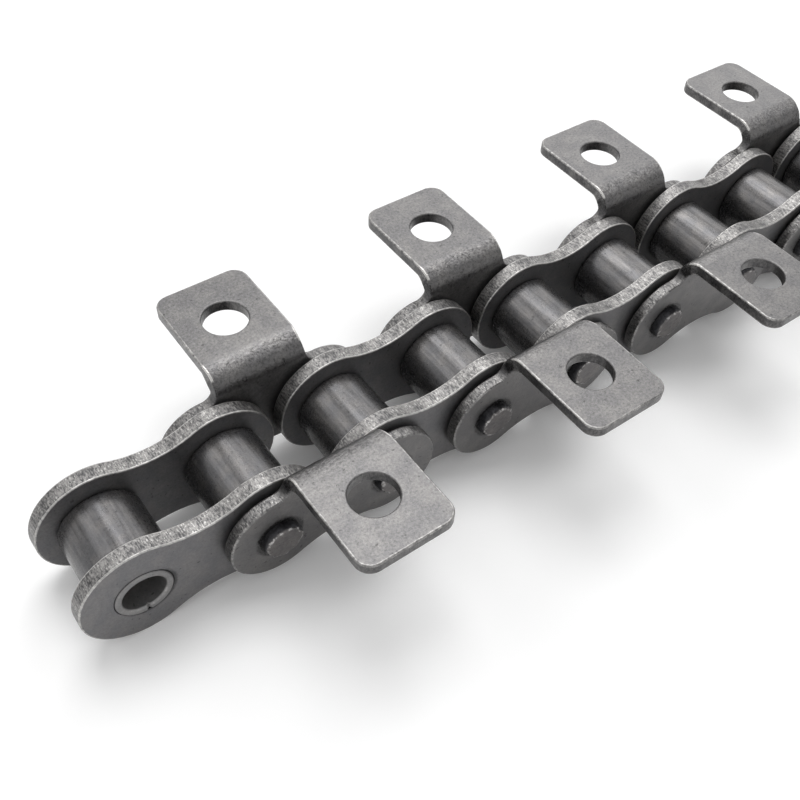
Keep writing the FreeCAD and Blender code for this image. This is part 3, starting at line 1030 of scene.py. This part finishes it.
def right_half():
    """The right half of the outline, from the middle of the lower edge up to the tab's end."""
    rise = HALF_PITCH**2 + OUTER_HALF_WAIST**2 - OUTER_END_RADIUS**2
    hollow = rise / (2 * (OUTER_END_RADIUS - OUTER_HALF_WAIST))
    hollow_centre = (0.0, -(OUTER_HALF_WAIST + hollow))
    lean = math.degrees(math.atan2(-hollow_centre[1], HALF_PITCH))
    root_x = HALF_TAB + WEB_ROOT_FILLET
    root_z = math.sqrt((OUTER_END_RADIUS + WEB_ROOT_FILLET) ** 2 - (HALF_PITCH - root_x) ** 2)
    root_turn = math.degrees(math.atan2(root_z, root_x - HALF_PITCH))
    corner = (HALF_TAB - TAB_CORNER_RADIUS, BLANK_TOP - TAB_CORNER_RADIUS)
    points = arc_points(hollow_centre, hollow, 90, lean, ARC_STEP)
    points += arc_points((HALF_PITCH, 0.0), OUTER_END_RADIUS, lean - 180, root_turn, ARC_STEP)
    points += arc_points((root_x, root_z), WEB_ROOT_FILLET, root_turn + 180, 180, ARC_STEP / 2)
    points += line_points((HALF_TAB, root_z), (HALF_TAB, corner[1]), LINE_STEP)
    points += arc_points(corner, TAB_CORNER_RADIUS, 0, 90, ARC_STEP / 2)
    return points + line_points((corner[0], BLANK_TOP), (0.0, BLANK_TOP), LINE_STEP)


def blank_outline():
    """The whole outline: the right half, and its mirror image in reverse."""
    right = right_half()
    left = [(-x, z) for x, z in reversed(right[1:])]
    return right + [(0.0, BLANK_TOP)] + left


# %% Stamp, cut rows and fold
BEND_ROWS = 20
DRAW_IN = 0.60 * MM            # times half thickness over bend radius, so about 0.18 mm here
ROOT_SHELTER = 2.2 * MM        # how far round the web's root the edges are sheltered
SHELTERED_WEAR = 0.25


def cut_rows(mesh):
    """Cut the blank across in even rows where it bends."""
    blank = bmesh.new()
    blank.from_mesh(mesh)
    for row in range(BEND_ROWS + 1):
        height = BEND_START + BEND_LENGTH * row / BEND_ROWS
        everything = blank.verts[:] + blank.edges[:] + blank.faces[:]
        bmesh.ops.bisect_plane(
            blank, geom=everything, dist=MERGE_DISTANCE / 2, plane_co=(0, height, 0),
            plane_no=(0, 1, 0))
    blank.to_mesh(mesh)
    blank.free()


def shelter(mesh, centre, reach):
    """Little rubs against the edges within this reach of a point or its mirror image."""
    edge = mesh.attributes["edge"].data
    for vertex in mesh.vertices:
        if math.dist((abs(vertex.co.x), vertex.co.y), centre) < reach:
            edge[vertex.index].value *= SHELTERED_WEAR


def make_attachment_plate():
    """Stamp, shelter, cut and fold. The root of the web and the tab's hole are seldom rubbed."""
    tab_hole = hole_loop((0.0, HOLE_HEIGHT), TAB_HOLE_RADIUS)
    seats = [hole_loop(joint, PIN_RADIUS) for joint in JOINTS]
    blank = stamp("attachment_plate", blank_outline(), [tab_hole], seats, "outer", OUTER_HALF)
    shelter(blank, (HALF_TAB + WEB_ROOT_FILLET / 2, BEND_START), ROOT_SHELTER)
    shelter(blank, (0.0, HOLE_HEIGHT), TAB_HOLE_RADIUS + FACE_MARGIN)
    cut_rows(blank)
    plate = build(
        FOLD, blank, "attachment_plate", Bend_Start=BEND_START, Bend_Length=BEND_LENGTH,
        Bend_Centre=BEND_CENTRE, Middle_Radius=BEND_MIDDLE_RADIUS, Half_Width=HALF_TAB,
        Draw_In=DRAW_IN)
    return close_shell(plate)


ATTACHMENT_PLATE = make_attachment_plate()

# %% [markdown]
# ## Turned pieces
#
# Rollers and pins are turned: a section spun about its axis. A Screw modifier would do that, but it
# can't make one row of points ragged and leave the next one true. The tree lays a grid of points
# and wraps it round the axis, and reads each row's radius and marks from a drawn section. Where a
# row is marked, it can push the points in and out at random, from a fixed seed.

# %% Tree: spin a section about the joint axis
TURNED_MARKS = ("edge", "stake", "rim", "dent")
DENT_DEPTH = 0.14 * MM
DENT_SCALE = 1400.0            # dents for each metre, so one in about 0.7 mm
TRUE_LEVEL = 0.7               # noise above this leaves the radius as it was turned


def turned_tree():
    """Wrap a grid round the axis: one grid row for each row of the section."""
    tree, given = geometry_tree(
        "turned_piece", Section="Object", Rows="Int", Around="Int", Roughness="Float", Seed="Float")
    rows = Value(tree, given["Rows"])
    around = Value(tree, given["Around"])
    grid = add(tree, "GeometryNodeMeshGrid", {"Vertices X": around + 1.0, "Vertices Y": rows})
    index = Value(tree, add(tree, "GeometryNodeInputIndex").outputs[0])
    row = index.calc("MODULO", rows)
    column = (index / rows).calc("FLOOR")
    section = add(tree, "GeometryNodeObjectInfo", {"Object": given["Section"]}).outputs["Geometry"]

    def read(value, kind):
        inputs = {"Geometry": section, "Index": row, "Value": value}
        return add(tree, "GeometryNodeSampleIndex", inputs, data_type=kind).outputs[0]

    point = read(add(tree, "GeometryNodeInputPosition").outputs[0], "FLOAT_VECTOR")
    radius, along, _ = separate(tree, point)
    marks = {label: Value(tree, read(stored(tree, label), "FLOAT")) for label in TURNED_MARKS}
    turn = column / around * math.tau
    spun = combine(tree, radius * turn.calc("COSINE"), along, radius * turn.calc("SINE"))
    dents = {"Vector": spun, "W": given["Seed"], "Scale": DENT_SCALE, "Detail": 2.0}
    wobble = add(tree, "ShaderNodeTexNoise", dents, noise_dimensions="4D")
    uneven = Value(tree, wobble.outputs["Fac"])
    torn = (uneven - TRUE_LEVEL).calc("MINIMUM", 0.0) * Value(tree, given["Roughness"])
    rough = radius + torn * marks["stake"]
    sunk = along - along.calc("SIGN") * uneven * marks["dent"] * DENT_DEPTH
    place = combine(tree, rough * turn.calc("COSINE"), sunk, rough * turn.calc("SINE"))
    kept = grid.outputs["Mesh"]
    for label in ("edge", "rim"):
        kept = store(tree, kept, label, marks[label])
    kept = store(tree, kept, "rim_place", spun, "FLOAT_VECTOR")
    moved = add(tree, "GeometryNodeSetPosition", {"Geometry": kept, "Position": place})
    doubles = {"Geometry": moved.outputs[0], "Distance": MERGE_DISTANCE}
    closed = add(tree, "GeometryNodeMergeByDistance", doubles)
    add(tree, "NodeGroupOutput", {"Geometry": closed.outputs[0]})
    return tree


TURNED = turned_tree()
print(TURNED.name, "has", len(TURNED.nodes), "nodes")

# %% Turn a piece
AROUND = 96                    # points round a turned piece


def turn_piece(name, rows, roughness=0.0, seed=0.0):
    """Rows are radius, place along the axis, edge, stake, rim and dent."""
    marks = {label: [row[i] for row in rows] for i, label in enumerate(TURNED_MARKS, start=2)}
    section = wire(name + "_section", [[row[:2] for row in rows]], False, **marks)
    mesh = build(
        TURNED, bpy.data.meshes.new(name), name, Section=section, Rows=len(rows),
        Around=AROUND, Roughness=roughness, Seed=seed)
    bpy.data.objects.remove(section)
    return close_shell(mesh)

# %% [markdown]
# ## Rollers
#
# A roller is a short thick tube, cold drawn and burnished by the sprocket. What shows is its broad
# barrel and the round of its outer edges, where the light runs out. A plain tube with a bevel would
# come near, but the section lets the bore's chamfer and the wear of the edges be drawn as well.

# %% Rollers
ROLLER_EDGE_RADIUS = 0.42 * MM
ROLLER_LIP = 0.12 * MM


def rounded(corner, radius, start, edge, steps=4):
    """Rows (radius, along, edge) of a rounded corner whose arc starts at this angle."""
    rows = []
    for i in range(steps + 1):
        turn = math.radians(start + 90 * i / steps)
        rows.append((corner[0] + radius * math.cos(turn), corner[1] + radius * math.sin(turn), edge))
    return rows


def make_roller():
    """A tube with well rounded outer edges and a small chamfer at the bore."""
    outer, bore, end = ROLLER_RADIUS, ROLLER_BORE_RADIUS, ROLLER_HALF_LENGTH
    edge_radius, lip = ROLLER_EDGE_RADIUS, ROLLER_LIP
    rows = [(bore, 0.0, 0.0), (bore, -end + lip, 0.0), (bore + lip, -end, 0.3)]
    rows += [(bore + 0.5 * MM, -end, 0.0), (outer - edge_radius - 0.1 * MM, -end, 0.1)]
    rows += rounded((outer - edge_radius, -end + edge_radius), edge_radius, -90, 0.6)
    rows += [(outer, -end + edge_radius + 0.1 * MM, 0.2), (outer, -end / 2, 0.0), (outer, 0.0, 0.0)]
    rows += [(radius, -along, edge) for radius, along, edge in reversed(rows[:-1])]
    return turn_piece("roller", [(*row, 0.0, 0.0, 0.0) for row in rows])


ROLLER = make_roller()

# %% [markdown]
# ## Pins
#
# A pin is a plain rod, pressed into both outer plates and then staked: a punch spreads the edge of
# each end, which leaves it ragged, bright and slightly dented. No two ends are alike, so every pin
# gets a seed of its own. Between the plates the pin is plain and dark with oil; the same near black on
# its side where it stands out of the plate is a painted shade.

# %% Pins
PIN_RAGGEDNESS = 1.3 * MM
# Rows of a pin's end face: share of the radius, then stake.
PIN_FACE = ((0.0, 0.0), (0.15, 0.03), (0.3, 0.06), (0.45, 0.09), (0.6, 0.12), (0.72, 0.144))
# Rows of its edge: millimetres in from the side and down from the end, edge, stake, rim and dent.
PIN_EDGE = (
    (0.24, 0.03, 0.8, 0.9, 0.0, 0.6),
    (0.12, 0.09, 1.0, 1.0, 0.0, 0.3),
    (0.02, 0.20, 1.0, 1.0, 0.2, 0.0),
    (0.00, 0.32, 0.5, 0.7, 0.9, 0.0),
    (0.00, 0.46, 0.1, 0.3, 1.0, 0.0),
    (0.00, 0.80, 0.0, 0.0, 1.0, 0.0),
)


def make_pin(seed):
    """A pin whose end faces are nearly flat and whose end edges are torn by staking."""
    radius, end = PIN_RADIUS, PIN_HALF_LENGTH
    rows = [(radius * share, -end, 0.0, stake, 0.0, 1.0) for share, stake in PIN_FACE]
    rows += [(radius * 0.82, -end + 0.01 * MM, 0.25, 0.5, 0.0, 0.9)]
    rows += [(radius - inset * MM, -end + depth * MM, *marks) for inset, depth, *marks in PIN_EDGE]
    rows += [(radius, -end / 2, 0.0, 0.0, 1.0, 0.0), (radius, 0.0, 0.0, 0.0, 1.0, 0.0)]
    rows += [(row[0], -row[1], *row[2:]) for row in reversed(rows[:-1])]
    return turn_piece("pin", rows, PIN_RAGGEDNESS, float(seed))


print("each end of a pin is drawn with", len(PIN_FACE) + len(PIN_EDGE) + 1, "rows")

# %% [markdown]
# ## Bushings
#
# A bushing isn't turned but curled from strip. It shows a seam where the strip's ends meet, with a
# small notch where their corners were broken and a slight step where they missed each other. Its
# chamfered end stands just proud of the plate, with a hairline of a gap round it that is painted near
# black as shade. Cutting a
# seam into a tube would leave sharp new edges. Here the strip's section is swept along an arc that
# stops short of a full turn, as the real strip does.

# %% Tree: curl a strip into a bushing
CURL_STEPS = 240
NOTCH_REACH = 0.7 * MM         # over this length the breaking of the corners sets in,
NOTCH_START = 1.3              # and it starts this many such lengths below the end
STEP_WIDTH = 1.4 * MM          # how far round the seam's step fades


def curled_tree():
    """The strip's corners are broken at the seam, and one of its ends steps in a little."""
    tree, given = geometry_tree(
        "curled_bushing", Section="Object", Radius="Float", Seam_Angle="Float",
        Half_Length="Float", Lead="Float", Step="Float")
    seam, radius, end, lead, step = (
        Value(tree, given[name]) for name in ("Seam Angle", "Radius", "Half Length", "Lead", "Step"))
    path = add(tree, "GeometryNodeCurveArc", {
        "Resolution": CURL_STEPS,
        "Radius": radius,
        "Start Angle": seam / 2.0 - math.pi / 2,
        "Sweep Angle": seam * -1.0 + math.tau,
    })
    path = add(tree, "GeometryNodeSetCurveNormal", {"Curve": path.outputs[0]}, mode="Z_UP")
    section = add(tree, "GeometryNodeObjectInfo", {"Object": given["Section"]})
    section = add(tree, "GeometryNodeMeshToCurve", {"Mesh": section.outputs["Geometry"]})
    sweep = {"Curve": path.outputs[0], "Profile Curve": section.outputs[0], "Fill Caps": True}
    tube = add(tree, "GeometryNodeCurveToMesh", sweep)
    x, z, along = separate(tree, add(tree, "GeometryNodeInputPosition").outputs[0])
    from_seam = x.calc("ARCTAN2", z * -1.0)
    distance = from_seam.calc("ABSOLUTE") * radius
    near_end = ((along.calc("ABSOLUTE") - end) / NOTCH_REACH + NOTCH_START).clamped()
    broken = (lead - distance).calc("MAXIMUM", 0.0) * near_end * along.calc("SIGN")
    fading = (distance / -STEP_WIDTH + 1.0).calc("MAXIMUM", 0.0)
    inwards = fading * from_seam.calc("LESS_THAN", 0.0) * step
    shrink = inwards * -1.0 / radius + 1.0
    place = combine(tree, x * shrink, along - broken, z * shrink)
    stood = add(tree, "GeometryNodeSetPosition", {"Geometry": tube.outputs[0], "Position": place})
    add(tree, "NodeGroupOutput", {"Geometry": stood.outputs[0]})
    return tree


CURLED = curled_tree()
print(CURLED.name, "has", len(CURLED.nodes), "nodes")

# %% Bushings
SEAT_EASE = 0.08 * MM          # taper that helps a bushing into its seat
SEAM_STEP = 0.04 * MM
# Rows of a bushing's outer end: millimetres in from the tapered side and down from the end, edge, and
# groove, which marks the gap inside the seat and is painted near black as shade.
BUSHING_END = (
    (0.00, 0.21, 0.0, 1.0),
    (0.02, 0.17, 0.0, 0.5),
    (0.08, 0.09, 0.2, 0.0),
    (0.13, 0.03, 0.4, 0.0),
    (0.17, 0.00, 0.4, 0.0),
    (0.24, 0.00, 0.1, 0.0),
)


def make_bushing():
    """The strip's section is a long rectangle, tapered outside and lipped at the bore.

    Each row is place outwards from the middle of the wall, place along the axis, edge and groove.
    """
    middle_radius = (BUSHING_RADIUS + BUSHING_BORE_RADIUS) / 2
    half_wall = (BUSHING_RADIUS - BUSHING_BORE_RADIUS) / 2
    end = BUSHING_HALF_LENGTH
    ease = half_wall - SEAT_EASE
    lip = BORE_LIP - half_wall
    rows = [(half_wall, 0.0, 0.0, 0.0), (half_wall, end / 2, 0.0, 0.0)]
    rows += [(half_wall, end - 0.50 * MM, 0.0, 1.0)]
    rows += [(ease - inset * MM, end - depth * MM, *marks) for inset, depth, *marks in BUSHING_END]
    rows += [(lip + 0.10 * MM, end, 0.3, 0.0), (lip, end - 0.01 * MM, 0.9, 0.0)]
    rows += [(lip - BORE_LIP / 2, end - BORE_LIP * 0.45, 1.0, 0.0)]
    rows += [(0.01 * MM - half_wall, end - BORE_LIP, 0.8, 0.0)]
    rows += [(-half_wall, end - BORE_LIP - 0.08 * MM, 0.2, 0.0)]
    rows += [(-half_wall, end / 2, 0.0, 0.0), (-half_wall, 0.0, 0.0, 0.0)]
    rows += [(x, -y, *marks) for x, y, *marks in reversed(rows[1:-1])]
    outline = [row[:2] for row in rows]
    edges, grooves = [row[2] for row in rows], [row[3] for row in rows]
    section = wire("bushing_section", [outline], True, edge=edges, rim=grooves)
    mesh = build(
        CURLED, bpy.data.meshes.new("bushing"), "bushing", Section=section, Radius=middle_radius,
        Seam_Angle=SEAM_WIDTH / middle_radius, Half_Length=end, Lead=SEAM_LEAD, Step=SEAM_STEP)
    bpy.data.objects.remove(section)
    return close_shell(mesh)


BUSHING = make_bushing()

# %% [markdown]
# ## Setting the pieces in the chain
#
# Every piece is now made once, at the middle of the chain line. One more tree sets copies of it:
# it turns the piece over for the near side, moves it to its joint or link, and paints it. Each
# copy rides on the body that carries its solid, and stands for that solid.

# %% Tree: set one copy in its place


def set_tree():
    """One copy, turned over by its side (1 or -1), moved to its place and painted."""
    tree, given = geometry_tree("set_in_chain", Place="Vector", Side="Float", Steel="Material")
    copy = add(tree, "GeometryNodeGeometryToInstance")
    tree.links.new(given["Geometry"], copy.inputs[0])
    side = combine(tree, 1.0, Value(tree, given["Side"]), 1.0)
    turned = add(tree, "GeometryNodeScaleInstances", {"Instances": copy.outputs[0], "Scale": side})
    shifted = {"Instances": turned.outputs[0], "Translation": given["Place"]}
    moved = add(tree, "GeometryNodeTranslateInstances", shifted)
    finish_tree(tree, moved.outputs[0], given["Steel"])
    return tree


SET = set_tree()
print(SET.name, "has", len(SET.nodes), "nodes")

# %% Set one piece and name its body, its solid and its finish
BODY_OF = {node: body for body, nodes in BODIES.items() for node in nodes}


def set_piece(node, mesh, slot, side=1.0):
    """Make the finished piece for a solid, at that solid's place along the chain."""
    name = node + "_steel"
    place = (middle(node).x, 0.0, AXIS_HEIGHT)
    made = build(SET, mesh, name, Place=place, Side=side, Steel=STEELS[slot])
    if side < 0:
        shell = bmesh.new()
        shell.from_mesh(made)
        bmesh.ops.recalc_face_normals(shell, faces=shell.faces)
        shell.to_mesh(made)
        shell.free()
    piece = put(name, made)
    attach(piece, BODY_OF[node])
    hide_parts(node)
    return piece


print(len(BODY_OF), "solids have a body to ride on")


# %% Set every piece
MASTERS = {
    "inner_plate": INNER_PLATE,
    "attachment_plate": ATTACHMENT_PLATE,
    "bushing": BUSHING,
    "roller": ROLLER,
}
pieces = []
for node in sorted(frame["nodes"]):
    slot = next(kind for kind in STEELS if node.startswith(kind))
    side = -1.0 if node.endswith("_front") else 1.0
    master = make_pin(int(node.split("_")[1])) if slot == "pin" else MASTERS[slot]
    pieces.append(set_piece(node, master, slot, side))
for section in SECTIONS.values():
    bpy.data.objects.remove(section)
faces = sum(len(piece.data.polygons) for piece in pieces)
print(f"{len(pieces)} pieces set, {faces} faces in all")
